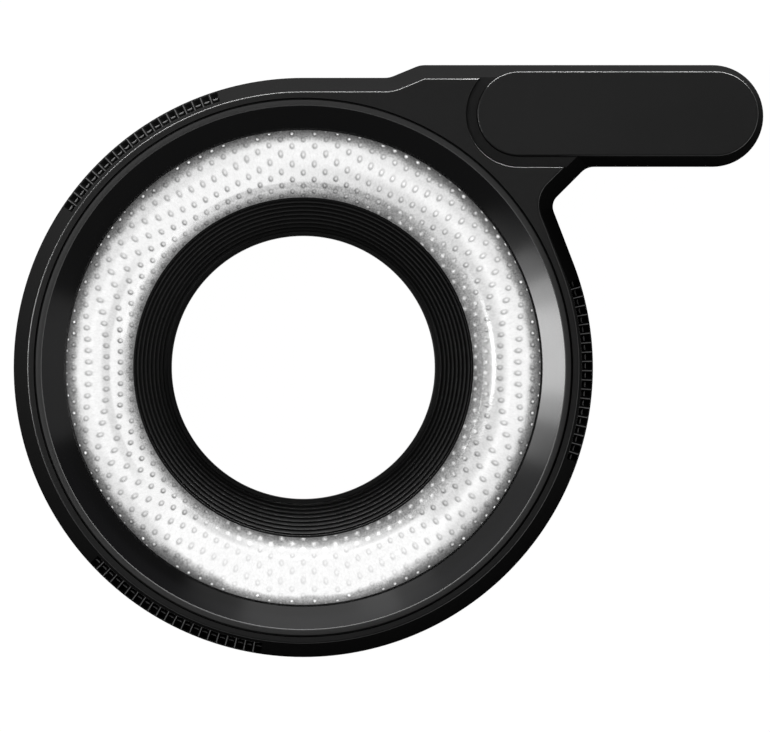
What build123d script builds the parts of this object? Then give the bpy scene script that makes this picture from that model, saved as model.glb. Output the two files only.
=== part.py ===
from build123d import *
from math import atan, cos, degrees, hypot, radians, sin, sqrt, tan
import os

# Macro light guide: a ring that turns onto the bayonet round a camera's lens and spreads the light of the
# camera's own lamp round it. Millimetres. The lens axis is +Z, the guide lies on its rear face at z = 0,
# its front looks to +Z and the arm that reaches over to the lamp runs along +X.

# Rings, from the outside in
base_radius = 25.0          # outer wall at the rear
wall_lean = 1.4             # how far the outer wall leans in from rear to front
lip_width = 0.53            # flat front lip of the shell
bezel_gap = 0.19            # dark groove between shell and bezel
rim_width = 0.48            # flat front rim of the bezel
cone_width = 2.1            # the bezel's funnel, seen from the front
throat_radius = 11.3        # clear opening that the camera looks through
throat_lip = 0.35           # plain band round the opening
rib_count = 8
rib_pitch = 0.342           # ribs of the stray-light funnel
rib_depth = 0.25
baffle_rim = 0.12           # plain band outside the last rib
baffle_rise = 3.2           # height of the ribbed cone
baffle_wall = 0.8

# Rear mount
pilot_radius = 17.0
pilot_depth = 1.4
barrel_step = 0.2           # how much narrower the bore is in front of the pilot
lug_reach = 0.9
lug_thickness = 1.0
lug_angle = 36.0
lug_count = 3
lug_start = 90.0
lock_pin_radius = 0.8
lock_pin_depth = 1.5
lock_pin_angle = 255.0

# Heights of the stack, from the rear to the front
barrel_gap = 1.3            # room in front of the lugs for the camera's bayonet
core_plate = 0.8
tray_wall = 0.6
guide_thickness = 1.8
light_gap = 0.4             # air between light guide and film
film_thickness = 0.1
flange_thickness = 0.9      # rim of the clear ring
bezel_seat = 2.5            # front lip of the shell above the bezel's seat
bezel_proud = 0.2           # bezel rim above that lip
tape_thickness = 0.15
ledge_thickness = 0.6
dome_edge = 0.4             # straight inner edge of the clear ring above its rim
dome_rise = 2.0             # crown of the clear ring above that edge
dome_crown_inset = 2.15     # crown of the clear ring, in from its outer wall
dome_bands = 6              # flats that make up the dome's round
baffle_cap = 1.2            # thickness of the funnel's outer rim
cone_foot_edge = 1.4        # upright inner edge of the bezel, below its funnel

# Arm, pod and web
arm_rise = 1.1              # arm above the ring
step_start = 7.41
step_end = 10.09
step_bend = 2.0
pod_width = 8.79
pod_reach = 39.7            # far end of the pod from the lens axis
pod_lean = 0.74             # how far the pod's wall leans in from the rear to the moat's floor
web_angle = 21.0            # where the straight web leaves the ring
web_corner_x = 24.47
web_bend = 1.5
web_crotch = 1.2
moat_depth = 1.1
moat_radius = 4.57
moat_center_x = 18.49
cap_thickness = 0.9
cap_edge = 0.25
peg_radius = 0.5
peg_length = 0.8
peg_inset = 1.5

# Walls and fits
shell_wall = 1.2
slip = 0.1                  # clearance of a part dropped into its seat
guide_air = 0.2             # air gap round the light guide
face_edge = 0.12            # broken edge of the moulded faces

# Screws
thread_radius = 0.58
thread_fit = 0.02
screw_pass = 0.07
head_radius = 1.0
head_height = 0.5
head_sunk = 0.25
cross_width = 0.28
cross_length = 1.2
cross_depth = 0.25
boss_wall = 0.45
mount_screw_count = 4
mount_screw_start = 30.0
arm_screw_length = 3.6
arm_screw_inset = 4.0       # web screw, back from the web's corner
pod_screw_inset = 3.4       # pod screw, back from the far end of the pod

# Light path
pipe_width = 3.2
pipe_turn = 12.0            # how steeply the pipe runs down into the ring
pipe_bend = 12.0
pipe_thin_x = 19.0          # where the pipe has thinned to the ring's thickness
lamp_inset = 8.5            # middle of the camera's lamp, back from the far end of the pod
inlet_radius = 1.9
window_thickness = 0.6
window_seat = 0.2
cover_thickness = 1.0
seal_thickness = 0.5
seal_width = 0.8
foil_thickness = 0.15
holder_length = 1.7
post_thickness = 0.8
post_inset = 4.6            # far post, back from the pipe's upright leg
post_near_inset = 2.1       # near post, back from where the pipe starts to thicken
groove_count = 44
groove_first_depth = 0.15
groove_last_depth = 0.45
groove_margin = 0.4
end_slot_angle = 84.0
end_slot_width = 0.5

# Grip knurls moulded in the ring's wall
knurl_patches = ((107.2, 146.4), (-19.4, 18.1), (222.4, 261.8))
knurl_turn = 1.84           # degrees from groove to groove
knurl_fill = 0.95           # share of that turn which a groove takes
knurl_depth = 0.34
knurl_rear = 0.7            # plain band at the rear
knurl_front = 2.2           # plain band at the front
knurl_break = 0.3           # plain band between the two rows

# Worked out: heights
lug_bottom = pilot_depth + slip
mount_top = lug_bottom + lug_thickness + slip
core_bottom = mount_top + barrel_gap
core_top = core_bottom + core_plate
guide_bottom = core_top + tray_wall
guide_top = guide_bottom + guide_thickness
tray_top = guide_top + light_gap
film_top = tray_top + film_thickness
flange_top = film_top + flange_thickness
ledge_top = flange_top - tape_thickness
ledge_bottom = ledge_top - ledge_thickness
baffle_top = flange_top + baffle_cap
throat_top = baffle_top - baffle_rise
body_depth = flange_top + bezel_seat
moat_floor = body_depth - moat_depth
ceiling = moat_floor - tape_thickness - shell_wall - slip
cover_bottom = seal_thickness
cover_top = cover_bottom + cover_thickness
prism_low = guide_top - pipe_width

# Worked out: radii
barrel_radius = pilot_radius - barrel_step
face_radius = base_radius - wall_lean
cavity_radius = face_radius - lip_width
bezel_radius = cavity_radius - bezel_gap
rim_radius = bezel_radius - rim_width
cone_foot = rim_radius - cone_width
rib_start = throat_radius + throat_lip
rib_end = rib_start + rib_count * rib_pitch
baffle_radius = rib_end + baffle_rim
skirt_radius = baffle_radius - tray_wall
spigot_radius = throat_radius + baffle_wall
tray_inner = skirt_radius + slip
tray_outer = cone_foot + tray_wall
guide_inner = tray_inner + tray_wall + guide_air
guide_outer = tray_outer - tray_wall - guide_air
ledge_radius = tray_outer + guide_air
boss_radius = thread_radius + thread_fit + boss_wall
screw_circle = ledge_radius + boss_radius
mount_radius = screw_circle + head_radius + 3 * slip
pocket_radius = mount_radius + slip
ring_wall_radius = pocket_radius + 0.8 * shell_wall
head_pass = head_radius + screw_pass
shank_pass = thread_radius + screw_pass
screw_turns = [mount_screw_start + n * 360 / mount_screw_count for n in range(mount_screw_count)]

# Worked out: the arm
wall_draft = degrees(atan(wall_lean / body_depth))
pod_draft = degrees(atan(pod_lean / moat_floor))
pod_radius = pod_width / 2
arm_top = base_radius + arm_rise
pod_y = arm_top - pod_radius
pod_bottom = arm_top - pod_width
pod_end_x = pod_reach - pod_radius
pod_top_radius = pod_radius - pod_lean
tape_radius = pod_top_radius - shell_wall / 2
channel_radius = pod_top_radius - shell_wall
liner_radius = channel_radius - slip
cover_radius = pod_radius - 0.75 * shell_wall
cover_left = step_end + shell_wall / 2
lamp_x = pod_reach - lamp_inset
tab_radius = head_radius + shell_wall / 2
leg_left = lamp_x - pipe_width / 2
leg_right = lamp_x + pipe_width / 2
leg_bottom = cover_top + slip
web_screw = (web_corner_x - arm_screw_inset, pod_bottom - slip)
pod_screw = (pod_reach - pod_screw_inset, pod_y)
liner_left = sqrt(ring_wall_radius**2 - (pod_y - liner_radius) ** 2) + 2 * slip


def on_circle(radius, angle):
    """The point of a circle round the lens axis, by its angle in degrees."""
    return (radius * cos(radians(angle)), radius * sin(radians(angle)))


def ring(inner, outer, bottom, top, mode=Mode.ADD):
    """A flat ring round the lens axis, in the part that is being built."""
    with BuildSketch(Plane.XY.offset(bottom)) as section:
        Circle(outer)
        Circle(inner, mode=Mode.SUBTRACT)
    extrude(section.sketch, amount=top - bottom, mode=mode)


def disc(place, radius, bottom, top, mode=Mode.SUBTRACT):
    """An upright hole at a place or, with Mode.ADD, an upright pin."""
    with BuildSketch(Plane.XY.offset(bottom)) as section:
        with Locations(place):
            Circle(radius)
    extrude(section.sketch, amount=top - bottom, mode=mode)


def turned(*corners, mode=Mode.ADD):
    """A ring turned from the corners of its section, each a radius and a height."""
    with BuildSketch(Plane.XZ) as section:
        with BuildLine():
            Polyline(*corners, close=True)
        make_face()
    revolve(section.sketch, axis=Axis.Z, mode=mode)


def arm_block(*corners, half_width):
    """A block on the arm's middle plane, from its side outline, each corner an x and a height."""
    with BuildSketch(Plane.XZ.offset(-pod_y)) as section:
        with BuildLine():
            Polyline(*corners, close=True)
        make_face()
    extrude(section.sketch, amount=half_width, both=True)


def screw(place, bottom, length):
    """A cross-head screw with its head at the rear, in the part that is being built."""
    disc(place, head_radius, bottom, bottom + head_height, Mode.ADD)
    disc(place, thread_radius, bottom + head_height, bottom + head_height + length, Mode.ADD)
    with BuildSketch(Plane.XY.offset(bottom)) as cross:
        with Locations(place):
            Rectangle(cross_width, cross_length)
            Rectangle(cross_length, cross_width)
    extrude(cross.sketch, amount=cross_depth, mode=Mode.SUBTRACT)


def stadium(left, right, radius):
    """A round-ended bar along the arm, in the sketch that is being drawn."""
    with Locations(((left + right) / 2, pod_y)):
        SlotCenterToCenter(right - left, 2 * radius)


def body_outline():
    """The moulding's outline at the rear: ring, arm, pod and web."""
    web_start = on_circle(base_radius, web_angle)
    corner_line = web_corner_x - pod_bottom
    slope = tan(radians(web_angle))
    crotch_y = (web_start[0] + slope * web_start[1] - corner_line) / (1 + slope)
    crotch = (corner_line + crotch_y, crotch_y)
    with BuildSketch() as outline:
        with BuildLine():
            Polyline(web_start, crotch, (web_corner_x, pod_bottom), (pod_end_x, pod_bottom))
            ThreePointArc((pod_end_x, pod_bottom), (pod_reach, pod_y), (pod_end_x, arm_top))
            Polyline((pod_end_x, arm_top), (step_end, arm_top), (step_start, base_radius), (0, base_radius))
            ThreePointArc((0, base_radius), (-base_radius, 0), (0, -base_radius))
            ThreePointArc((0, -base_radius), on_circle(base_radius, web_angle / 2 - 45), web_start)
        make_face()
        for corner, bend in (
            (crotch, web_crotch),
            ((web_corner_x, pod_bottom), web_bend),
            ((step_end, arm_top), step_bend),
            ((step_start, base_radius), step_bend),
        ):
            fillet(outline.vertices().sort_by_distance(corner)[0], bend)
    return outline.sketch


def cover_shape(margin):
    """The opening at the arm's rear with its screw tab, grown by a margin, in the sketch being drawn."""
    with Locations(((cover_left + pod_end_x) / 2, pod_y)):
        Rectangle(pod_end_x - cover_left + 2 * margin, 2 * (cover_radius + margin))
    with Locations((pod_end_x, pod_y)):
        Circle(cover_radius + margin)
    with Locations(web_screw):
        Circle(tab_radius + margin)
    with Locations((web_screw[0], (web_screw[1] + pod_y) / 2)):
        Rectangle(2 * (tab_radius + margin), pod_y - web_screw[1])
    Circle(ring_wall_radius + slip - margin, mode=Mode.SUBTRACT)


# The pipe's middle line runs level along the arm, then down to touch the ring's outer edge
pipe_circle = guide_outer - pipe_width / 2
pipe_touch = on_circle(pipe_circle, 90 + pipe_turn)
pipe_bend_x = pipe_touch[0] + (pod_y - pipe_touch[1]) / tan(radians(pipe_turn))


def pipe_shape(width, level_end):
    """The light pipe from the ring to a place along the arm, in the sketch being drawn."""
    with BuildLine() as middle:
        FilletPolyline(pipe_touch, (pipe_bend_x, pod_y), (level_end, pod_y), radius=pipe_bend)
    trace(middle.line, line_width=width)


def end_slot(width):
    """The radial slot that ends the ring just before the pipe joins it, in the sketch being drawn."""
    bridge = (pipe_circle - pipe_width / 2) / cos(radians(90 + pipe_turn - end_slot_angle))
    slot_end = bridge - tray_wall / 2
    with Locations(Rotation(0, 0, end_slot_angle)):
        with Locations(((tray_inner + slot_end) / 2, 0)):
            Rectangle(slot_end - tray_inner, width)


def wall_radius(height):
    """The ring's outer wall at a height."""
    return base_radius - wall_lean * height / body_depth


def knurl_planes():
    """A plane on the leaning wall for each groove, looking in."""
    row_height = (body_depth - knurl_rear - knurl_front - knurl_break) / 2
    rows = (knurl_rear + row_height / 2, body_depth - knurl_front - row_height / 2)
    lean = radians(wall_draft)
    planes = []
    for start, end in knurl_patches:
        count = round((end - start) / knurl_turn)
        for n in range(count):
            turn = radians(start + (n + 0.5) * (end - start) / count)
            inward = (-cos(turn) * cos(lean), -sin(turn) * cos(lean), -sin(lean))
            for height in rows:
                radius = wall_radius(height)
                place = (radius * cos(turn), radius * sin(turn), height)
                planes.append(Plane(place, x_dir=(-sin(turn), cos(turn), 0), z_dir=inward))
    return planes, row_height


# Front shell: one leaning-walled moulding of ring, arm and web, with the pod on its own steeper walls
with BuildPart() as front_shell:
    with BuildSketch():
        add(body_outline())
    extrude(amount=body_depth, taper=wall_draft)
    # The moat round the pod's cap runs out through the arm's upper wall
    with BuildSketch(Plane.XY.offset(moat_floor)):
        stadium(moat_center_x, pod_end_x, moat_radius)
    extrude(amount=moat_depth, mode=Mode.SUBTRACT)
    with BuildSketch():
        stadium(moat_center_x, pod_end_x, pod_radius)
    extrude(amount=moat_floor, taper=pod_draft)
    # Rear pocket for mount and core, inner bore, ledge for the bezel, and the bezel's own pocket
    turned(
        (0, 0),
        (pocket_radius, 0),
        (pocket_radius, core_top),
        (cavity_radius, core_top),
        (cavity_radius, ledge_bottom),
        (ledge_radius, ledge_bottom),
        (ledge_radius, ledge_top),
        (cavity_radius, ledge_top),
        (cavity_radius, body_depth),
        (0, body_depth),
        mode=Mode.SUBTRACT,
    )
    for turn in screw_turns:
        disc(on_circle(screw_circle, turn), boss_radius, core_top, ledge_top, Mode.ADD)
        disc(on_circle(screw_circle, turn), thread_radius + thread_fit, core_top, ledge_bottom)
    # The arm's opening, the light channel behind it and the way through the ring's wall
    with BuildSketch():
        cover_shape(slip)
    extrude(amount=cover_top, mode=Mode.SUBTRACT)
    with BuildSketch(Plane.XY.offset(cover_top)):
        with Locations(((pipe_bend_x + pod_end_x) / 2, pod_y)):
            Rectangle(pod_end_x - pipe_bend_x, 2 * channel_radius)
        with Locations((pod_end_x, pod_y)):
            Circle(channel_radius)
        Circle(ring_wall_radius, mode=Mode.SUBTRACT)
    extrude(amount=ceiling - cover_top, mode=Mode.SUBTRACT)
    with BuildSketch(Plane.XY.offset(core_top)):
        pipe_shape(pipe_width + 2 * guide_air, leg_left)
    extrude(amount=ledge_bottom - core_top, mode=Mode.SUBTRACT)
    disc(pod_screw, boss_radius, cover_top, ceiling, Mode.ADD)
    for place in (web_screw, pod_screw):
        disc(place, thread_radius + thread_fit, cover_top, cover_top + arm_screw_length)
    # Seat of the cap: a shallow pocket for its tape and two peg holes
    with BuildSketch(Plane.XY.offset(moat_floor - tape_thickness)):
        stadium(moat_center_x, pod_end_x, tape_radius)
    extrude(amount=tape_thickness, mode=Mode.SUBTRACT)
    for place in ((moat_center_x + peg_inset, pod_y), (pod_end_x - peg_inset, pod_y)):
        disc(place, peg_radius + slip / 2, moat_floor - peg_length - slip, moat_floor)
    face = front_shell.faces().filter_by(Axis.Z).sort_by(Axis.Z)[-1]
    chamfer(face.outer_wire().edges(), face_edge)
    # Grip knurls: hip-ended grooves pressed into the leaning wall
    planes, row_height = knurl_planes()
    groove_width = knurl_fill * radians(knurl_turn) * wall_radius(body_depth / 2)
    valley = 0.02 * groove_width
    with Locations(*planes):
        Wedge(
            groove_width,
            knurl_depth,
            row_height,
            groove_width / 2 - valley,
            groove_width / 2,
            groove_width / 2 + valley,
            row_height - groove_width / 2,
            rotation=(90, 0, 0),
            align=(Align.CENTER, Align.MIN, Align.CENTER),
            mode=Mode.SUBTRACT,
        )

# Bezel ring: a funnel with a flat rim, held to the shell's ledge by a ring of tape
with BuildPart() as bezel_ring:
    turned(
        (cone_foot, flange_top),
        (bezel_radius, flange_top),
        (bezel_radius, body_depth + bezel_proud),
        (rim_radius, body_depth + bezel_proud),
        (cone_foot, flange_top + cone_foot_edge),
    )
    chamfer(bezel_ring.edges().group_by(Axis.Z)[-1].sort_by(SortBy.RADIUS)[-1], face_edge / 2)

with BuildPart() as bezel_tape:
    ring(ledge_radius + slip, bezel_radius - slip, ledge_top, flange_top)

# Clear ring: a flat rim trapped by bezel and funnel, and a domed crown that stands up between them
with BuildPart() as lens_ring:
    dome_inner = baffle_radius + slip
    dome_outer = cone_foot - slip
    dome_crown = dome_outer - dome_crown_inset
    dome = []
    for n in range(dome_bands + 1):
        radius = dome_outer - n * (dome_outer - dome_inner) / dome_bands
        fall = dome_rise * ((radius - dome_crown) / (dome_crown - dome_inner)) ** 2
        dome.append((radius, flange_top + dome_edge + dome_rise - fall))
    turned(
        (tray_inner, film_top),
        (tray_outer, film_top),
        (tray_outer, flange_top),
        (dome_outer, flange_top),
        *dome,
        (dome_inner, flange_top),
        (tray_inner, flange_top),
    )

with BuildPart() as diffusion_film:
    ring(tray_inner, tray_outer, tray_top, film_top)

# Light guide: a grooved ring, fed along its outer edge by the pipe that starts at the lamp's prism
with BuildPart() as light_guide:
    ring(guide_inner, guide_outer, guide_bottom, guide_top)
    with BuildSketch(Plane.XY.offset(guide_bottom)):
        end_slot(end_slot_width)
    extrude(amount=guide_thickness, mode=Mode.SUBTRACT)
    with BuildSketch(Plane.XY.offset(guide_bottom)):
        pipe_shape(pipe_width, pipe_thin_x)
    extrude(amount=guide_thickness)
    arm_block(
        (pipe_thin_x, guide_bottom),
        (leg_left, prism_low),
        (leg_left, leg_bottom),
        (leg_right, leg_bottom),
        (leg_right, prism_low),
        (leg_left, guide_top),
        (pipe_thin_x, guide_top),
        half_width=pipe_width / 2,
    )
    # Radial grooves throw the light forward, deeper towards the end where less of it is left
    groove_turn = (360 + end_slot_angle - 90 - 2 * pipe_turn) / groove_count
    for n in range(groove_count):
        turn = 90 + 1.5 * pipe_turn + n * groove_turn
        depth = groove_first_depth + (groove_last_depth - groove_first_depth) * n / groove_count
        place = on_circle(guide_inner + groove_margin, turn)
        with BuildSketch(
            Plane((*place, guide_bottom), x_dir=(*on_circle(1, turn + 90), 0), z_dir=(*on_circle(1, turn), 0))
        ):
            with BuildLine():
                Polyline((-depth, 0), (depth, 0), (0, depth), close=True)
            make_face()
        extrude(amount=guide_outer - guide_inner - 2 * groove_margin, mode=Mode.SUBTRACT)

# Reflector tray: the white trough under the ring, open where the pipe comes in
with BuildPart() as reflector_tray:
    turned(
        (tray_inner, core_top),
        (tray_outer, core_top),
        (tray_outer, tray_top),
        (tray_outer - tray_wall, tray_top),
        (tray_outer - tray_wall, guide_bottom),
        (tray_inner + tray_wall, guide_bottom),
        (tray_inner + tray_wall, tray_top),
        (tray_inner, tray_top),
    )
    with BuildSketch(Plane.XY.offset(guide_bottom)):
        pipe_shape(pipe_width + 2 * guide_air, lamp_x)
    extrude(amount=guide_thickness + guide_air, mode=Mode.SUBTRACT)
    with BuildSketch(Plane.XY.offset(guide_bottom)):
        end_slot(end_slot_width - guide_air)
    extrude(amount=guide_thickness)

# Arm reflector: a white trough upside down over the pipe
with BuildPart() as arm_reflector:
    arm_block(
        (liner_left, prism_low),
        (leg_left - guide_air, prism_low),
        (leg_left - guide_air, ceiling),
        (liner_left, ceiling),
        half_width=liner_radius,
    )
    with BuildSketch(Plane.YZ.offset(liner_left)):
        with Locations((pod_y, (prism_low + guide_top + guide_air) / 2)):
            Rectangle(pipe_width + 2 * guide_air, guide_top + guide_air - prism_low)
    extrude(amount=leg_left - liner_left, mode=Mode.SUBTRACT)

# Prism: foil on its sloping face, and the block that holds it down on the lamp window
foil_rise = hypot(foil_thickness, foil_thickness)
with BuildPart() as prism_mirror:
    arm_block(
        (leg_right, prism_low),
        (leg_right, prism_low + foil_rise),
        (leg_left, guide_top + foil_rise),
        (leg_left, guide_top),
        half_width=pipe_width / 2,
    )

holder_line = leg_left + guide_top + foil_rise + slip / 2
with BuildPart() as prism_holder:
    holder_left = leg_left + 2 * guide_air
    holder_foot = leg_right + slip
    holder_right = leg_right + holder_length
    arm_block(
        (holder_foot, leg_bottom),
        (holder_right, leg_bottom),
        (holder_right, ceiling),
        (holder_left, ceiling),
        (holder_left, holder_line - holder_left),
        (holder_foot, holder_line - holder_foot),
        half_width=liner_radius,
    )

# Stray-light funnel: a ribbed cone hung from its rim, with a skirt and a spigot that centre it
with BuildPart() as baffle_ring:
    cone_slope = baffle_rise / (rib_end - rib_start)
    skirt_inner = skirt_radius - tray_wall

    def cone_height(radius):
        return throat_top + cone_slope * (radius - rib_start)

    ribs = [(rib_start, throat_top)]
    for n in range(rib_count):
        ridge = rib_start + (n + 0.5) * rib_pitch
        valley = rib_start + (n + 1) * rib_pitch
        ribs.append((ridge, cone_height(ridge)))
        ribs.append((valley, cone_height(valley) - rib_depth))
    turned(
        (throat_radius, core_bottom),
        (throat_radius, throat_top),
        *ribs,
        (rib_end, baffle_top),
        (baffle_radius, baffle_top),
        (baffle_radius, flange_top),
        (skirt_radius, flange_top),
        (skirt_radius, core_top),
        (skirt_inner, core_top),
        (skirt_inner, cone_height(skirt_inner) - rib_depth - baffle_wall),
        (spigot_radius, cone_height(spigot_radius) - rib_depth - baffle_wall),
        (spigot_radius, core_bottom),
    )

# Core frame: the black plate that closes the light chamber and carries tray, funnel and mount
with BuildPart() as core_frame:
    ring(spigot_radius + slip, mount_radius, core_bottom, core_top)
    ring(ledge_radius - slip, mount_radius, mount_top, core_bottom)
    for turn in screw_turns:
        disc(on_circle(screw_circle, turn), shank_pass, mount_top, core_top)

# Mount ring: pilot bore at the rear, bayonet lugs in the narrower bore in front, a hole for the lock pin
with BuildPart() as mount_ring:
    ring(pilot_radius, mount_radius, 0, pilot_depth)
    ring(barrel_radius, mount_radius, pilot_depth, mount_top)
    with BuildSketch(Plane.XY.offset(lug_bottom)):
        for n in range(lug_count):
            lug_middle = lug_start + n * 360 / lug_count
            with BuildLine():
                inner = CenterArc((0, 0), barrel_radius - lug_reach, lug_middle - lug_angle / 2, lug_angle)
                outer = CenterArc((0, 0), barrel_radius + slip, lug_middle - lug_angle / 2, lug_angle)
                Line(inner @ 0, outer @ 0)
                Line(inner @ 1, outer @ 1)
            make_face()
    extrude(amount=lug_thickness)
    for turn in screw_turns:
        disc(on_circle(screw_circle, turn), head_pass, 0, head_sunk + head_height)
        disc(on_circle(screw_circle, turn), shank_pass, 0, mount_top)
    disc(on_circle((pilot_radius + mount_radius) / 2, lock_pin_angle), lock_pin_radius, 0, lock_pin_depth)

with BuildPart() as mount_screws:
    for turn in screw_turns:
        screw(on_circle(screw_circle, turn), head_sunk, ledge_bottom - head_sunk - head_height - 3 * slip)

# Arm cover: closes the light channel, with the lamp window, two screws and two posts under the pipe
with BuildPart() as arm_rear_cover:
    with BuildSketch(Plane.XY.offset(cover_bottom)):
        cover_shape(0)
    extrude(amount=cover_thickness)
    pipe_fall = (guide_bottom - prism_low) / (leg_left - pipe_thin_x)
    for x in (pipe_thin_x - post_near_inset, leg_left - post_inset):
        under_pipe = guide_bottom - pipe_fall * max(0, x + post_thickness / 2 - pipe_thin_x)
        with BuildSketch(Plane.XY.offset(cover_top)):
            with Locations((x, pod_y)):
                Rectangle(post_thickness, pipe_width)
        extrude(amount=under_pipe - slip / 2 - cover_top)
    disc((lamp_x, pod_y), inlet_radius, cover_bottom, cover_top)
    disc((lamp_x, pod_y), inlet_radius + window_seat, cover_top - window_thickness, cover_top)
    for place in (web_screw, pod_screw):
        disc(place, shank_pass, cover_bottom, cover_top)
        disc(place, head_pass, cover_bottom, cover_bottom + head_height)

with BuildPart() as arm_cover_screws:
    for place in (web_screw, pod_screw):
        screw(place, cover_bottom, arm_screw_length)

with BuildPart() as inlet_window:
    disc(
        (lamp_x, pod_y),
        inlet_radius + window_seat - slip / 2,
        cover_top - window_thickness,
        cover_top,
        Mode.ADD,
    )

with BuildPart() as inlet_light_seal:
    disc((lamp_x, pod_y), inlet_radius + window_seat + seal_width, 0, seal_thickness, Mode.ADD)
    disc((lamp_x, pod_y), inlet_radius + window_seat, 0, seal_thickness)

# Pod cap: the bare plate on the pod's front, with pegs and a sheet of tape under it
with BuildPart() as pod_cap:
    with BuildSketch(Plane.XY.offset(moat_floor)):
        stadium(moat_center_x, pod_end_x, pod_top_radius)
    extrude(amount=cap_thickness, taper=pod_draft)
    chamfer(pod_cap.faces().sort_by(Axis.Z)[-1].edges(), cap_edge)
    for place in ((moat_center_x + peg_inset, pod_y), (pod_end_x - peg_inset, pod_y)):
        disc(place, peg_radius, moat_floor - peg_length, moat_floor, Mode.ADD)

with BuildPart() as pod_cap_tape:
    with BuildSketch(Plane.XY.offset(moat_floor - tape_thickness)):
        stadium(moat_center_x, pod_end_x, tape_radius - slip)
        for x in (moat_center_x + peg_inset, pod_end_x - peg_inset):
            with Locations((x, pod_y)):
                Circle(peg_radius + slip, mode=Mode.SUBTRACT)
    extrude(amount=tape_thickness)

os.makedirs("parts", exist_ok=True)
for name, piece in (
    ("front_shell", front_shell),
    ("bezel_ring", bezel_ring),
    ("bezel_tape", bezel_tape),
    ("lens_ring", lens_ring),
    ("diffusion_film", diffusion_film),
    ("light_guide", light_guide),
    ("reflector_tray", reflector_tray),
    ("arm_reflector", arm_reflector),
    ("prism_mirror", prism_mirror),
    ("prism_holder", prism_holder),
    ("baffle_ring", baffle_ring),
    ("core_frame", core_frame),
    ("mount_ring", mount_ring),
    ("mount_screws", mount_screws),
    ("arm_rear_cover", arm_rear_cover),
    ("arm_cover_screws", arm_cover_screws),
    ("inlet_window", inlet_window),
    ("inlet_light_seal", inlet_light_seal),
    ("pod_cap", pod_cap),
    ("pod_cap_tape", pod_cap_tape),
):
    piece.part.label = name
    export_step(piece.part, f"parts/{name}.step")
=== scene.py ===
from math import asin, atan2, cos, degrees, hypot, pi, radians, sin, sqrt, tan

import bpy
from mathutils import Matrix, Vector


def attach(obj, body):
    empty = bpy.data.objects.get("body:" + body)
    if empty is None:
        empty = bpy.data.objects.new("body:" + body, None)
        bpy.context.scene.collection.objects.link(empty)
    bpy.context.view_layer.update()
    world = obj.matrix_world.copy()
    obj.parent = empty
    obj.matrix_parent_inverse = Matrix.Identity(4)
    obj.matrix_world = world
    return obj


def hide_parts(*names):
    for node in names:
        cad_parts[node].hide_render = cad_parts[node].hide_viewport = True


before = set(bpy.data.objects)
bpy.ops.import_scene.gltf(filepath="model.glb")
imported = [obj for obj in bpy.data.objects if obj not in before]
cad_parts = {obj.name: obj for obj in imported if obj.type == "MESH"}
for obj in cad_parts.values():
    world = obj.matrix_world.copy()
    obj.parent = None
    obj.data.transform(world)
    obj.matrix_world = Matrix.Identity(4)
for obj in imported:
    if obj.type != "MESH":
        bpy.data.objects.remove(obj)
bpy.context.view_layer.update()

# Camera on the lens axis, looking straight down on the front of the guide as it lies on its rear face. The
# view is shifted to the right, because the picture shows the ring's axis left of its middle. FIELD is the
# width of the guide's front plane that the picture takes in.
MM = 0.001
FRONT, AWAY, SENSOR, FIELD = 11.0, 1175.0, 36.0, 65.84
eye = bpy.data.cameras.new("camera")
eye.sensor_width = SENSOR
eye.lens = SENSOR * AWAY / FIELD
eye.shift_x, eye.shift_y = 0.1061, 0.0019
eye.clip_end = 10.0
camera = bpy.data.objects.new("camera", eye)
camera.location = (0.0, 0.0, (FRONT + AWAY) * MM)
bpy.context.scene.collection.objects.link(camera)
bpy.context.scene.camera = camera
bpy.context.scene.view_settings.view_transform = "Standard"


def linear(code, share=1.0):
    """An sRGB hex colour as the linear colour that a shader takes, or a share of it."""
    parts = [int(code[n : n + 2], 16) / 255 for n in (1, 3, 5)]
    return [share * (p / 12.92 if p <= 0.04045 else ((p + 0.055) / 1.055) ** 2.4) for p in parts] + [1.0]


def add_node(tree, kind, inputs=(), **settings):
    """One shader node with its settings. Its inputs are named, or come in the order of its sockets. Each is a
    number, a colour, an output of another node, or another node, of which it takes the first output."""
    node = tree.nodes.new("ShaderNode" + kind)
    for name, value in settings.items():
        setattr(node, name, value)
    for socket, value in inputs.items() if isinstance(inputs, dict) else enumerate(inputs):
        if isinstance(value, bpy.types.Node):
            value = value.outputs[0]
        if isinstance(value, bpy.types.NodeSocket):
            tree.links.new(value, node.inputs[socket])
        else:
            node.inputs[socket].default_value = value
    return node


def blank_material(name):
    """A material with no nodes yet."""
    material = bpy.data.materials.new(name)
    material.use_nodes = True
    material.node_tree.nodes.clear()
    return material, material.node_tree


# White paper sweep under and round the guide. It shines evenly for the camera and less in reflections, and a
# little of it is still lit paper, so that the guide's shadow stays on it.
PAPER_SEEN, PAPER_MIRRORED, PAPER_SHINE = 0.95, 0.3, 1.05
bpy.ops.mesh.primitive_plane_add(size=6.0, location=(0.0, 0.0, 0.0))
paper = bpy.context.object
paper.name = "paper_floor"
paper_white, tree = blank_material("paper_white")
path = add_node(tree, "LightPath").outputs
seen = add_node(tree, "Math", [path["Is Camera Ray"], path["Is Transmission Ray"]], operation="MAXIMUM")
seen = add_node(tree, "Math", [seen, PAPER_SEEN], operation="MULTIPLY")
mirrored = add_node(tree, "Math", [path["Is Glossy Ray"], PAPER_MIRRORED], operation="MULTIPLY")
share = add_node(tree, "Math", [seen, mirrored], operation="MAXIMUM")
lit = add_node(tree, "BsdfDiffuse", [linear("#f4f4f4")])
shine = add_node(tree, "Emission", [linear("#ffffff"), PAPER_SHINE])
add_node(tree, "OutputMaterial", [add_node(tree, "MixShader", [share, lit, shine])])
paper.data.materials.append(paper_white)

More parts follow.
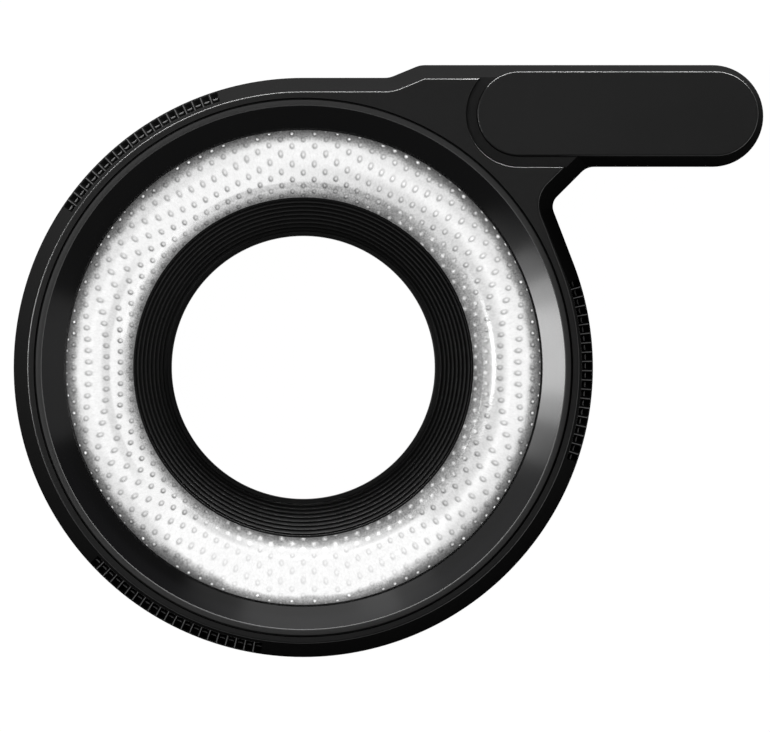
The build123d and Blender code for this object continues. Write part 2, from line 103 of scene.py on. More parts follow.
# Studio: a white surround that is dim for everything but the camera, and soft boxes round the guide. Bright
# low ones at the left and the back graze its walls, dimmer ones stand higher all round, and one hangs over
# it. Boxes that overlap stand at slightly different distances, because in one plane they hide each other.
ROOM_DIM = 0.1
room = bpy.data.worlds.new("studio")
bpy.context.scene.world = room
room.use_nodes = True
tree = room.node_tree
tree.nodes.clear()
path = add_node(tree, "LightPath").outputs
dim = add_node(tree, "Background", [linear("#ffffff"), ROOM_DIM])
white = add_node(tree, "Background", [linear("#ffffff"), 1.0])
add_node(tree, "OutputWorld", [add_node(tree, "MixShader", [path["Is Camera Ray"], dim, white])])


def soft_box(name, azimuth, elevation, distance, width, height, radiance, on_matt=True):
    """An area lamp that faces the guide. Azimuth 0 is along +X and 90 along +Y, and lengths are in metres."""
    lamp = bpy.data.lights.new(name, "AREA")
    lamp.shape = "RECTANGLE"
    lamp.size = width
    lamp.size_y = height
    lamp.energy = radiance * pi * width * height
    place = bpy.data.objects.new(name, lamp)
    a, e = radians(azimuth), radians(elevation)
    place.location = (distance * cos(e) * cos(a), distance * cos(e) * sin(a), distance * sin(e))
    place.rotation_euler = (-place.location).to_track_quat("-Z", "Y").to_euler()
    place.visible_diffuse = on_matt
    bpy.context.scene.collection.objects.link(place)


# Four boxes in one place make one whose light falls off towards its ends
soft_box("box_left", 184, 31, 1.0, 0.3, 0.16, 4.6)
soft_box("box_left_wide", 184, 31, 1.02, 0.5, 0.16, 4.2)
soft_box("box_left_wider", 183, 31, 1.04, 0.8, 0.16, 2.2)
soft_box("box_left_widest", 187, 31, 1.06, 1.15, 0.16, 0.5)
soft_box("box_left_low", 168, 1.6, 1.0, 0.6, 0.05, 40)
# This one shows in gloss alone, and the two soft ones light the clear ring alone, as its section says
soft_box("box_left_low_gloss", 168, 1.6, 1.02, 0.612, 0.051, 70, False)
soft_box("box_left_low_soft", 168, 2.5, 1.0, 0.7, 0.15, 3.5)
soft_box("box_back_low_soft", 90, 5, 1.0, 2.2, 0.25, 2)
soft_box("box_left_back", 134, 31, 1.1, 1.1, 0.17, 0.45)
soft_box("box_back", 94, 31, 1.0, 0.55, 0.16, 0.6)
soft_box("box_back_wide", 92, 31, 1.03, 1.0, 0.16, 0.5)
soft_box("box_back_low", 90, 5, 1.0, 2.2, 0.15, 56)
soft_box("box_right", 0, 31, 1.0, 0.5, 0.16, 0.35)
soft_box("box_front_low", 325, 9, 1.0, 1.0, 0.3, 2)
soft_box("box_over", 158, 78, 1.35, 0.42, 0.42, 1.0)

# Mount ring: moulded black glass-filled polycarbonate at the very back, which turns onto the camera. Its
# pilot bore, the three bayonet lugs in the narrower bore in front and the screw seats are one moulding.
PILOT, PILOT_DEEP, BARREL, MOUNT_OUTER, MOUNT_TOP = 17.0, 1.4, 16.8, 23.45, 2.6
LUG_MIDDLES, LUG_TURN, LUG_LOW, LUG_THICK, LUG_REACH = (90, 210, 330), 36, 1.5, 1.0, 0.9
LUG_ROOT, LUG_EDGE = 0.2, 0.12
SCREW_CIRCLE, SCREW_TURNS = 22.15, (30, 120, 210, 300)
HEAD_SEAT, SHANK_SEAT, SEAT_DEEP, SHANK_DEEP = 1.07, 0.65, 0.75, 3.0
LOCK_CIRCLE, LOCK_TURN, LOCK_R, LOCK_DEEP = (PILOT + MOUNT_OUTER) / 2, 255, 0.8, 1.5
# A cutter starts this far under the rear face and breaks the hole's edge this wide
UNDER, BROKEN = 0.5, 0.1
STEPS, SMALL_STEPS = 192, 32


def on_circle(radius, turn, center=(0.0, 0.0)):
    """A point of a circle, by its angle in degrees."""
    return (center[0] + radius * cos(radians(turn)), center[1] + radius * sin(radians(turn)))


def arc(center, radius, start, end, turn_step=5.0):
    """Points along an arc, ends included."""
    count = max(2, round(abs(end - start) / turn_step))
    return [on_circle(radius, start + (end - start) * n / count, center) for n in range(count + 1)]


def rounded(corners, closed=True, turn_step=15.0):
    """A line through corners, where a corner given with a third number is rounded with that radius."""
    line = []
    for n, corner in enumerate(corners):
        here = Vector(corner[:2])
        if len(corner) < 3 or not corner[2] or (not closed and n in (0, len(corners) - 1)):
            line.append(tuple(here))
            continue
        back = (Vector(corners[n - 1][:2]) - here).normalized()
        ahead = (Vector(corners[(n + 1) % len(corners)][:2]) - here).normalized()
        half = back.angle(ahead) / 2
        reach = corner[2] / tan(half)
        middle = here + (back + ahead).normalized() * corner[2] / sin(half)
        first, last = here + back * reach - middle, here + ahead * reach - middle
        start = degrees(atan2(first.y, first.x))
        sweep = (degrees(atan2(last.y, last.x)) - start + 180) % 360 - 180
        line += arc(middle, corner[2], start, start + sweep, turn_step)
    return line


def only(piece):
    """Leaves this piece alone selected and active."""
    bpy.ops.object.select_all(action="DESELECT")
    piece.select_set(True)
    bpy.context.view_layer.objects.active = piece


def in_edit(piece):
    """Opens this piece in edit mode with all of it selected."""
    only(piece)
    bpy.ops.object.mode_set(mode="EDIT")
    bpy.ops.mesh.select_all(action="SELECT")


def drawn(name, points, edges, faces):
    """A mesh from points in millimetres, the start of a turned or raised piece."""
    mesh = bpy.data.meshes.new(name)
    mesh.from_pydata([[c * MM for c in p] for p in points], edges, faces)
    piece = bpy.data.objects.new(name, mesh)
    bpy.context.scene.collection.objects.link(piece)
    return piece


def turned(name, corners, steps=STEPS, center=(0.0, 0.0)):
    """A ring or disc turned round an upright axis from a section's corners, each a radius, a height and a
    rounding."""
    line = rounded(corners, turn_step=22.5)
    points = [(center[0] + r, center[1], z) for r, z in line]
    piece = drawn(name, points, [(n, (n + 1) % len(points)) for n in range(len(points))], [])
    in_edit(piece)
    bpy.ops.mesh.spin(
        steps=steps, angle=2 * pi, center=(center[0] * MM, center[1] * MM, 0.0), axis=(0.0, 0.0, 1.0)
    )
    bpy.ops.mesh.select_all(action="SELECT")
    bpy.ops.mesh.remove_doubles(threshold=1e-7)
    bpy.ops.mesh.normals_make_consistent(inside=False)
    bpy.ops.object.mode_set(mode="OBJECT")
    return piece


def drill(place, *corners, steps=SMALL_STEPS):
    """A cutter for a stepped round hole, from its corners up the wall, each a radius and a height."""
    return turned("drill", [(0, corners[0][1]), *corners, (0, corners[-1][1])], steps, place)


def raised(name, outline, height, insets):
    """A block raised from an outline by insets: how far in and how far up or, below zero, out and down."""
    points = [(x, y, height) for x, y in outline]
    piece = drawn(name, points, [], [list(range(len(points)))])
    in_edit(piece)
    if sum(up for into, up in insets) * piece.data.polygons[0].normal.z < 0:
        bpy.ops.mesh.flip_normals()
    for into, up in insets:
        bpy.ops.mesh.inset(
            thickness=abs(into) * MM, depth=abs(up) * MM, use_outset=into < 0, use_even_offset=True
        )
    bpy.ops.mesh.select_all(action="DESELECT")
    bpy.ops.mesh.select_mode(type="EDGE")
    bpy.ops.mesh.select_non_manifold()
    bpy.ops.mesh.edge_face_add()
    bpy.ops.mesh.select_mode(type="VERT")
    bpy.ops.mesh.select_all(action="SELECT")
    bpy.ops.mesh.normals_make_consistent(inside=False)
    bpy.ops.object.mode_set(mode="OBJECT")
    return piece


def joined(pieces):
    """Several meshes as one, without welding them."""
    bpy.ops.object.select_all(action="DESELECT")
    for piece in pieces:
        piece.select_set(True)
    bpy.context.view_layer.objects.active = pieces[0]
    bpy.ops.object.join()
    return pieces[0]


def carve(piece, tool, operation="DIFFERENCE"):
    """Cuts the tool out of the piece or, with UNION, adds it, and removes the tool."""
    only(piece)
    bpy.ops.object.modifier_add(type="BOOLEAN")
    piece.modifiers[-1].operation = operation
    piece.modifiers[-1].solver = "EXACT"
    piece.modifiers[-1].object = tool
    bpy.ops.object.modifier_apply(modifier=piece.modifiers[-1].name)
    bpy.data.objects.remove(tool)


def dress(piece, material, slot, *nodes, other=None, steep=(0.0, 0.0)):
    """Smooths the piece, gives it its material, and another to faces whose normals are so many degrees off
    the level, and lets it stand for its CAD nodes."""
    only(piece)
    bpy.ops.object.shade_smooth_by_angle(angle=radians(32))
    bpy.ops.object.modifier_add(type="WEIGHTED_NORMAL")
    piece.modifiers[-1].keep_sharp = True
    bpy.ops.object.modifier_apply(modifier=piece.modifiers[-1].name)
    piece.data.materials.clear()
    piece.data.materials.append(material)
    if other:
        piece.data.materials.append(other)
        for face in piece.data.polygons:
            face.material_index = steep[0] <= degrees(asin(min(1.0, abs(face.normal.z)))) <= steep[1]
    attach(piece, "root")
    if nodes:
        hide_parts(*nodes)


def moulded_black(name, color, roughness, specular, grain_mm, grain_height_mm):
    """Black engineering plastic: an even dark body under a fine spark-eroded grain, with uneven gloss."""
    material, tree = blank_material(name)
    place = add_node(tree, "TexCoord").outputs["Object"]
    grain = add_node(tree, "TexNoise", {"Vector": place, "Scale": 1 / (grain_mm * MM), "Detail": 2.0})
    patches = add_node(tree, "TexNoise", {"Vector": place, "Scale": 1 / (6.0 * MM), "Detail": 1.0})
    gloss = add_node(tree, "MapRange", [patches, 0.3, 0.7, roughness - 0.02, roughness + 0.02])
    shade = add_node(tree, "MixRGB", [grain, linear(color), linear(color, 1.25)])
    bump = add_node(tree, "Bump", {"Height": grain, "Distance": grain_height_mm * MM, "Strength": 1.0})
    finish = {"Base Color": shade, "Roughness": gloss, "Normal": bump}
    finish.update({"Specular IOR Level": specular, "IOR": 1.58})
    add_node(tree, "OutputMaterial", [add_node(tree, "BsdfPrincipled", finish)])
    return material


mount_ring = turned(
    "mount_ring_moulding",
    [
        (PILOT, 0.0, 0.25),
        (MOUNT_OUTER, 0.0, 0.15),
        (MOUNT_OUTER, MOUNT_TOP),
        (BARREL, MOUNT_TOP),
        (BARREL, PILOT_DEEP, 0.06),
        (PILOT, PILOT_DEEP),
    ],
)
for turn in LUG_MIDDLES:
    half = LUG_TURN / 2
    lug = arc((0, 0), BARREL + LUG_ROOT, turn - half, turn + half)
    lug += arc((0, 0), BARREL - LUG_REACH, turn + half, turn - half)
    lug_insets = [(0.0, LUG_THICK - LUG_EDGE), (LUG_EDGE, LUG_EDGE)]
    carve(mount_ring, raised("lug", lug, LUG_LOW, lug_insets), "UNION")
holes = [
    drill(
        on_circle(SCREW_CIRCLE, turn),
        (HEAD_SEAT + UNDER + BROKEN, -UNDER),
        (HEAD_SEAT, BROKEN),
        (HEAD_SEAT, SEAT_DEEP),
        (SHANK_SEAT, SEAT_DEEP),
        (SHANK_SEAT, SHANK_DEEP),
    )
    for turn in SCREW_TURNS
]
lock_mouth = [(LOCK_R + UNDER + BROKEN, -UNDER), (LOCK_R, BROKEN)]
holes.append(drill(on_circle(LOCK_CIRCLE, LOCK_TURN), *lock_mouth, (LOCK_R, LOCK_DEEP)))
for hole in holes:
    carve(mount_ring, hole)
# Mount plastic: harder and a touch glossier than the shell, because the lugs rub on metal
MOUNT_BLACK = moulded_black("mount_black_moulded", "#141415", 0.42, 0.4, 0.12, 0.004)
dress(mount_ring, MOUNT_BLACK, "mount_black", "mount_ring")

# Mount screws: four small cross-head screws of blackened steel, sunk in the mount ring's seats, which pull
# ring and core plate against the shell.
HEAD, HEAD_HIGH, HEAD_ROUND, HEAD_SUNK, THREAD, MOUNT_SCREW_LONG = 1.0, 0.5, 0.14, 0.25, 0.58, 6.7
CROSS_LONG, CROSS_WIDE, CROSS_TALL = 1.2, 0.28, 0.5


def cross_screw(name, place, bottom, length):
    """A cross-head screw, head down: turned head and shank, with the cross cut into the head."""
    top = bottom + HEAD_HIGH
    head = [(0, bottom), (HEAD, bottom, HEAD_ROUND), (HEAD, top)]
    shank = [(THREAD, top), (THREAD, top + length), (0, top + length)]
    screw = turned(name, head + shank, SMALL_STEPS, place)
    for size in ((CROSS_LONG, CROSS_WIDE, CROSS_TALL), (CROSS_WIDE, CROSS_LONG, CROSS_TALL)):
        bpy.ops.object.select_all(action="DESELECT")
        bpy.ops.mesh.primitive_cube_add(size=MM, location=(place[0] * MM, place[1] * MM, bottom * MM))
        bar = bpy.context.object
        bar.scale = size
        bpy.ops.object.transform_apply(location=True, rotation=True, scale=True)
        carve(screw, bar)
    return screw


# Steel with a black oxide coat: a dark metal, turned, with faint uneven gloss
STEEL, tree = blank_material("black_oxide_steel")
place = add_node(tree, "TexCoord").outputs["Object"]
coat = add_node(tree, "TexNoise", {"Vector": place, "Scale": 1 / (0.3 * MM), "Detail": 3.0})
gloss = add_node(tree, "MapRange", [coat, 0.3, 0.7, 0.25, 0.4])
finish = {"Base Color": linear("#3a3a3c"), "Metallic": 1.0, "Roughness": gloss}
add_node(tree, "OutputMaterial", [add_node(tree, "BsdfPrincipled", finish)])
places = [on_circle(SCREW_CIRCLE, turn) for turn in SCREW_TURNS]
screws = joined([cross_screw("mount_screw", place, HEAD_SUNK, MOUNT_SCREW_LONG) for place in places])
screws.name = "mount_screws_steel"
dress(screws, STEEL, "screw_black", "mount_screws")

# Core frame and the optics behind the clear ring stay as the CAD has them, because they are closed in. The
# black core plate shows only in the gap round the mount; tray and trough are white, the guide is clear
# acrylic, the prism's back is foil and the two tapes are black foam.


def finish_node(name, material):
    """Gives a CAD node that stays its material."""
    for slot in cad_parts[name].material_slots:
        slot.material = material


def plain_finish(name, color, roughness, patch_mm, **more):
    """A closed-in part's finish: one colour with a little cloudiness of the given size."""
    material, tree = blank_material(name)
    place = add_node(tree, "TexCoord").outputs["Object"]
    cloud = add_node(tree, "TexNoise", {"Vector": place, "Scale": 1 / (patch_mm * MM), "Detail": 2.0})
    shade = add_node(tree, "MixRGB", [cloud, linear(color, 0.88), linear(color)])
    body = add_node(tree, "BsdfPrincipled", {"Base Color": shade, "Roughness": roughness, **more})
    add_node(tree, "OutputMaterial", [body])
    return material


core_black = moulded_black("core_black_moulded", "#121213", 0.5, 0.3, 0.12, 0.004)
tray_white = plain_finish("tray_white_moulded", "#eeeeec", 0.55, 2.0)
guide_clear = plain_finish("guide_acrylic", "#f6f8fa", 0.03, 8.0, **{"Transmission Weight": 0.9, "IOR": 1.49})
tape_black = plain_finish("tape_black_foam", "#101010", 0.8, 0.4)
finish_node("core_frame", core_black)
finish_node("prism_holder", core_black)
finish_node("reflector_tray", tray_white)
finish_node("arm_reflector", tray_white)
finish_node("light_guide", guide_clear)
finish_node("prism_mirror", plain_finish("mirror_foil", "#dcdcde", 0.08, 1.0, Metallic=1.0))
finish_node("bezel_tape", tape_black)
finish_node("pod_cap_tape", tape_black)

# Diffusing film: a white polyester film right under the clear ring. It is no lamp: its glow, where the light
# guide feeds it, is painted light in its emission over a dark base. The bead dots are drawn in that glow, as
# darker rims of painted shade and bright pips of painted highlight. They stand 0.96 mm apart in upright rows
# across the whole ring, not round it, and every other row is half a step lower.
DOT_X, DOT_Y = 0.9604, 0.4776
film_glow, tree = blank_material("film_painted_glow")
place = add_node(tree, "TexCoord").outputs["Object"]
# Where a point of the film lies, in millimetres, and which way that is from the lens axis. The helpers below
# add their nodes to the tree of the material at hand.
flat = add_node(tree, "VectorMath", [place, (1 / MM, 1 / MM, 0.0)], operation="MULTIPLY")
radius = add_node(tree, "VectorMath", [flat], operation="LENGTH").outputs["Value"]
outward = add_node(tree, "VectorMath", [flat], operation="NORMALIZE")
sideways = add_node(tree, "VectorMath", [(0.0, 0.0, 1.0), outward], operation="CROSS_PRODUCT")
right, up = add_node(tree, "SeparateXYZ", [outward]).outputs[:2]


def along_axes(vector, *axes):
    """How far a vector goes along each of some axes, as a vector."""
    reach = [add_node(tree, "VectorMath", [vector, axis], operation="DOT_PRODUCT") for axis in axes]
    return add_node(tree, "CombineXYZ", [node.outputs["Value"] for node in reach])


def patch(*ramps):
    """How strongly something shows on a part of the film: the product of smooth ramps, each given as a value,
    the value's two ends, and what the ramp is at these and past them."""
    shares = [add_node(tree, "MapRange", ramp, interpolation_type="SMOOTHSTEP") for ramp in ramps]
    strength = shares[0]
    for share in shares[1:]:
        strength = add_node(tree, "Math", [strength, share], operation="MULTIPLY")
    return strength


def darkened(level, share):
    """A level less a share of itself."""
    kept = add_node(tree, "Math", [1.0, share], operation="SUBTRACT")
    return add_node(tree, "Math", [level, kept], operation="MULTIPLY")


# How far to the right, lower right and upper right a point is, and unevenness of three sizes
bearings = along_axes(outward, (0.95, 0.2, 0.0), (0.89, -0.45, 0.0), (0.66, 0.75, 0.0))
to_right, to_lower_right, to_upper_right = add_node(tree, "SeparateXYZ", [bearings]).outputs
uneven = []
for size in (1.6, 0.22, 0.12):
    noise = add_node(tree, "TexNoise", {"Vector": place, "Scale": 1 / (size * MM), "Detail": 1.0})
    uneven.append(add_node(tree, "Math", [noise, 0.5], operation="SUBTRACT"))
cloud, wobble, grit = uneven

# The painted glow falls off at both edges of the ring, and painted shade darkens it on its right side, where
# the funnel shades it
drift = add_node(tree, "Math", [cloud, 0.5, radius], operation="MULTIPLY_ADD")
ground = patch((drift, 15.1, 16.7, 0.2, 1.0), (drift, 18.68, 19.5, 1.0, 0.24))
shade = patch((radius, 15.4, 16.2, 0.25, 0.5), (radius, 16.2, 17.0, 1.0, 0.5), (radius, 17.3, 17.9, 1.0, 0.0))
shade = add_node(tree, "Math", [shade, patch((to_right, -0.1, 0.7, 0.0, 1.0))], operation="MULTIPLY")
ground = darkened(ground, shade)
# At the bottom the glow is painted brighter, as painted light, and reaches farther out, farthest right under
# the axis
low = patch((up, -0.7, -0.98, 0.0, 1.0))
lowest = patch((up, -0.88, -0.99, 0.0, 1.0))
lift = patch((radius, 18.4, 18.9, low, lowest), (radius, 16.0, 17.3, -0.1, 0.9))
lift = add_node(tree, "Math", [lift, 0.97], operation="ADD")
ground = add_node(tree, "Math", [ground, lift], operation="MULTIPLY")
# Painted shade darkens the outer edge in the four slanting directions, and most of all right under the bezel
slant = add_node(tree, "Math", [right, up], operation="MULTIPLY")
slant = add_node(tree, "Math", [slant, slant], operation="MULTIPLY")
slant = add_node(tree, "Math", [slant, patch((radius, 18.0, 18.6, 0.0, 0.88))], operation="MULTIPLY")
ground = darkened(ground, slant)
ground = add_node(tree, "Math", [ground, patch((radius, 19.4, 19.9, 1.0, 0.45))], operation="MULTIPLY")
ground = add_node(tree, "Math", [ground, 1.02], operation="MINIMUM")
# Narrow bands of painted shade: at the top, at the far left, and on both sides of the bottom
beside_bottom = add_node(tree, "Math", [up, 0.86], operation="ADD")
beside_bottom = add_node(tree, "Math", [beside_bottom], operation="ABSOLUTE")
for band in (
    [(radius, 16.05, 16.15, 0.0, 0.24), (radius, 16.5, 16.62, 1.0, 0.0), (up, 0.7, 0.9, 0.0, 1.0)],
    [(radius, 17.05, 17.2, 0.0, 0.2), (radius, 17.5, 17.7, 1.0, 0.0), (right, -0.75, -0.95, 0.0, 1.0)],
    [(radius, 15.6, 16.0, 0.1, 0.24), (radius, 16.6, 16.9, 1.0, 0.0), (beside_bottom, 0.06, 0.13, 1.0, 0.0)],
):
    ground = darkened(ground, patch(*band))

# How far a point is from the nearest dot: the rows are skewed to a square grid, wrapped to one cell of it
# and skewed back. Midway across the ring the dots are narrower along the radius, as the dome stretches them.
grid = along_axes(flat, (0.5 / DOT_X, 0.5 / DOT_Y, 0.0), (0.5 / DOT_X, -0.5 / DOT_Y, 0.0))
grid = add_node(tree, "VectorMath", [grid, (0.5, 0.5, 0.5), (-0.5, -0.5, -0.5)], operation="WRAP")
offset = along_axes(grid, (DOT_X, DOT_X, 0.0), (DOT_Y, -DOT_Y, 0.0))
narrow = patch((radius, 16.2, 17.2, 1.0, 1.15), (radius, 18.4, 19.2, 1.0, 0.87))
narrow = add_node(tree, "CombineXYZ", [narrow, 1.0, 1.0])
turned_offset = along_axes(offset, outward, sideways)
turned_offset = add_node(tree, "VectorMath", [turned_offset, narrow], operation="MULTIPLY")
from_dot = add_node(tree, "VectorMath", [turned_offset], operation="LENGTH").outputs["Value"]
from_dot = add_node(tree, "Math", [wobble, 0.07, from_dot], operation="MULTIPLY_ADD")
rim = patch((from_dot, 0.02, 0.17, 0.25, 1.0), (from_dot, 0.17, 0.3, 1.0, 0.0))

# The pips are painted highlights, bright along the inner edge at the lower right, at the upper right, and in
# the outermost row
white_row = patch((to_lower_right, -0.3, 0.2, 0.0, 1.0), (radius, 16.3, 16.8, 1.0, 0.0))
highlight_share = patch((to_upper_right, 0.78, 0.97, 0.0, 0.6))
highlight_share = add_node(tree, "Math", [white_row, highlight_share], operation="MAXIMUM")
bright = add_node(tree, "Math", [highlight_share, 0.45, 0.06], operation="MULTIPLY_ADD")
bright = add_node(tree, "Math", [bright, patch((radius, 19.2, 19.5, 0.0, 0.9))], operation="MAXIMUM")
pip_highlight = patch((from_dot, 0.02, patch((highlight_share, 0.0, 1.0, 0.16, 0.27)), 1.0, 0.0))
pip_highlight = add_node(tree, "Math", [pip_highlight, bright], operation="MULTIPLY")

# The rims are painted shade, darker on their lower side, and weak where the pips' painted highlights are
# bright and at the bottom
dark = patch((radius, 15.9, 16.6, 0.45, 0.64), (radius, 16.7, 17.5, 1.0, 0.72))
weak = patch((low, 0.0, 1.0, 1.0, 0.4))
weak = add_node(tree, "Math", [white_row, -0.8, weak], operation="MULTIPLY_ADD")
dark = add_node(tree, "Math", [dark, weak], operation="MULTIPLY")
below = add_node(tree, "VectorMath", [offset, (-0.5, -0.85, 0.0)], operation="DOT_PRODUCT").outputs["Value"]
off_middle = add_node(tree, "Math", [from_dot, 0.05], operation="MAXIMUM")
below = add_node(tree, "Math", [below, off_middle], operation="DIVIDE")
below = add_node(tree, "Math", [below, 0.35, 1.0], operation="MULTIPLY_ADD")
dark = add_node(tree, "Math", [dark, below], operation="MULTIPLY")
dark = add_node(tree, "Math", [dark, 0.95], operation="MINIMUM")
level = darkened(ground, add_node(tree, "Math", [rim, dark], operation="MULTIPLY"))
level = add_node(tree, "Math", [level, pip_highlight], operation="ADD")
grit = add_node(tree, "Math", [grit, patch((ground, 0.3, 0.9, 1.9, 0.35))], operation="MULTIPLY")
level = add_node(tree, "Math", [level, grit, level], operation="MULTIPLY_ADD")
# The film's look is all painted light: a dark base, with the painted glow, its painted shade and the painted
# highlights of the pips as emission
finish = {"Base Color": linear("#0c0c0c"), "Roughness": 0.8, "Specular IOR Level": 0.0}
finish.update({"Emission Color": linear("#ffffff"), "Emission Strength": level})
add_node(tree, "OutputMaterial", [add_node(tree, "BsdfPrincipled", finish)])
finish_node("diffusion_film", film_glow)

# Clear ring: one injection-moulded acrylic lens ring whose crown stands nearer its outer edge. Its flange
# lies on the film, under bezel and funnel.
FILM_TOP, FLANGE_TOP, TRAY_INNER, TRAY_OUTER, SEATED = 7.6, 8.5, 14.006, 20.9, 0.01
DOME_INNER, DOME_OUTER, DOME_EDGE, DOME_RISE, CROWN_INSET, DOME_ROUND = 14.606, 20.2, 0.4, 2.0, 2.15, 0.1
# Inwards the dome falls as a steepening parabola, outwards it bends over into a straight slope
INNER_STEEP, OUTER_SLOPE, OUTER_BEND, ARCH_STEPS, FINE_STEPS = 0.25, 0.53, 1.3, 32, 256
crown = DOME_OUTER - CROWN_INSET
arch = []
for n in range(ARCH_STEPS + 1):
    r = DOME_OUTER - n * (DOME_OUTER - DOME_INNER) / ARCH_STEPS
    inward = (crown - r) / (crown - DOME_INNER)
    fall = DOME_RISE * inward**2 + INNER_STEEP * inward**8
    if r > crown:
        fall = OUTER_SLOPE * OUTER_BEND * (hypot(1, (r - crown) / OUTER_BEND) - 1)
    arch.append((r, FLANGE_TOP + DOME_EDGE + DOME_RISE - fall))
foot = FILM_TOP - SEATED
flange = [(TRAY_INNER, foot), (TRAY_OUTER, foot), (TRAY_OUTER, FLANGE_TOP), (DOME_OUTER, FLANGE_TOP)]
inner_edge = [(*arch[-1], DOME_ROUND), (DOME_INNER, FLANGE_TOP), (TRAY_INNER, FLANGE_TOP)]
# The arch leaves its second point out, so that its outermost facet is a wide one
lens_ring = turned("clear_lens_ring", flange + arch[:1] + arch[2:-1] + inner_edge, FINE_STEPS)
# Clear acrylic: moulded and polished, with a slow drift in its gloss
clear_acrylic, tree = blank_material("clear_acrylic_moulded")
place = add_node(tree, "TexCoord").outputs["Object"]
swell = add_node(tree, "TexNoise", {"Vector": place, "Scale": 1 / (5.0 * MM), "Detail": 0.0})
polish = add_node(tree, "MapRange", [swell, 0.3, 0.7, 0.12, 0.16])
finish = {"Base Color": linear("#ffffff"), "Roughness": polish, "IOR": 1.58, "Transmission Weight": 1.0}
add_node(tree, "OutputMaterial", [add_node(tree, "BsdfPrincipled", finish)])
dress(lens_ring, clear_acrylic, "clear_ring", "lens_ring")
# In the clear ring the low lamps would mirror as hard white arcs, so that it has weaker ones of its own
for name, state, lamps in (
    ("all_but_clear_ring", "EXCLUDE", ("box_left_low", "box_left_low_gloss", "box_back_low")),
    ("clear_ring_alone", "INCLUDE", ("box_left_low_soft", "box_back_low_soft")),
):
    lamps_reach = bpy.data.collections.new(name)
    lamps_reach.objects.link(lens_ring)
    lamps_reach.collection_objects[0].light_linking.link_state = state
    for lamp in lamps:
        bpy.data.objects[lamp].light_linking.receiver_collection = lamps_reach

# Stray-light funnel: a matt black polycarbonate cone round the opening, moulded with eight fine round-backed
# ribs that break up reflections, hung by its rim on the clear ring and by a skirt on the core plate.
THROAT, LIP, RIBS, PITCH, RIB_DEEP, RIM = 11.3, 0.35, 8, 0.342, 0.25, 0.19
THROAT_TOP, FUNNEL_TOP, CORE_LOW, CORE_TOP, SKIRT = 6.5, 9.7, 3.9, 4.7, 13.906
FUNNEL_WALL, SKIRT_WALL = 0.8, 0.6
rib_start = THROAT + LIP
rib_end = rib_start + RIBS * PITCH
slope = (FUNNEL_TOP - THROAT_TOP) / (rib_end - rib_start)
section = [(THROAT, CORE_LOW), (THROAT, THROAT_TOP, 0.12), (rib_start, THROAT_TOP)]
for n in range(RIBS):
    ridge = rib_start + (n + 0.5) * PITCH
    foot = rib_start + (n + 1) * PITCH
    section.append((ridge, THROAT_TOP + slope * (ridge - rib_start), 0.05))
    section.append((foot, THROAT_TOP + slope * (foot - rib_start) - RIB_DEEP))
under = THROAT_TOP - RIB_DEEP - FUNNEL_WALL
section += [
    (rib_end, FUNNEL_TOP, 0.04),
    (rib_end + RIM, FUNNEL_TOP, 0.06),
    (rib_end + RIM, FLANGE_TOP),
    (SKIRT, FLANGE_TOP),
    (SKIRT, CORE_TOP),
    (SKIRT - SKIRT_WALL, CORE_TOP),
    (SKIRT - SKIRT_WALL, under + slope * (SKIRT - SKIRT_WALL - rib_start)),
    (THROAT + FUNNEL_WALL, under + slope * (THROAT + FUNNEL_WALL - rib_start)),
    (THROAT + FUNNEL_WALL, CORE_LOW),
]
funnel = turned("ribbed_funnel", section, FINE_STEPS)
FUNNEL_BLACK = moulded_black("funnel_black_matt", "#060606", 0.42, 0.28, 0.08, 0.002)
dress(funnel, FUNNEL_BLACK, "baffle_black", "baffle_ring")

# Bezel ring: a gloss black polycarbonate funnel with a flat rim, polished on the face that looks inward, and
# held by a ring of tape on the shell's ledge. Its edge shows a thin line of painted highlight.
BEZEL_OUTER, BEZEL_RIM, CONE_FOOT, BEZEL_TOP, FOOT_EDGE = 22.88, 22.40, 20.30, 11.2, 1.475
# The rim falls slightly outwards, and the thin line along its inner edge falls slightly inwards
RIM_FALL, LINE_OUT, LINE_IN, LINE_FALL = 0.012, 0.06, 0.02, 0.005
bezel = turned(
    "bezel_gloss_ring",
    [
        (CONE_FOOT, FLANGE_TOP),
        (BEZEL_OUTER, FLANGE_TOP),
        (BEZEL_OUTER, BEZEL_TOP - RIM_FALL),
        (BEZEL_RIM + LINE_OUT, BEZEL_TOP),
        (BEZEL_RIM - LINE_IN, BEZEL_TOP - LINE_FALL),
        (CONE_FOOT, FLANGE_TOP + FOOT_EDGE, 0.05),
    ],
    FINE_STEPS,
)
# Its cone is polished and its rim satin; the thin line is a painted highlight in pale grey
BEZEL_BLACK = moulded_black("bezel_black_gloss", "#030304", 0.14, 0.5, 0.5, 0.0)
RIM_BLACK = moulded_black("rim_black_satin", "#0d0d0d", 0.3, 0.9, 0.1, 0.002)
EDGE_PAINTED_HIGHLIGHT = moulded_black("edge_painted_highlight", "#545454", 0.5, 0.5, 0.1, 0.002)
dress(bezel, BEZEL_BLACK, "bezel_gloss", "bezel_ring", other=RIM_BLACK, steep=(80, 90))
# The flat faces of the thin line along the rim's inner edge get the painted highlight
bezel.data.materials.append(EDGE_PAINTED_HIGHLIGHT)
for face in bezel.data.polygons:
    if face.normal.z > 0.98 and hypot(*face.center.xy) < (BEZEL_RIM + LINE_OUT) * MM:
        face.material_index = 2

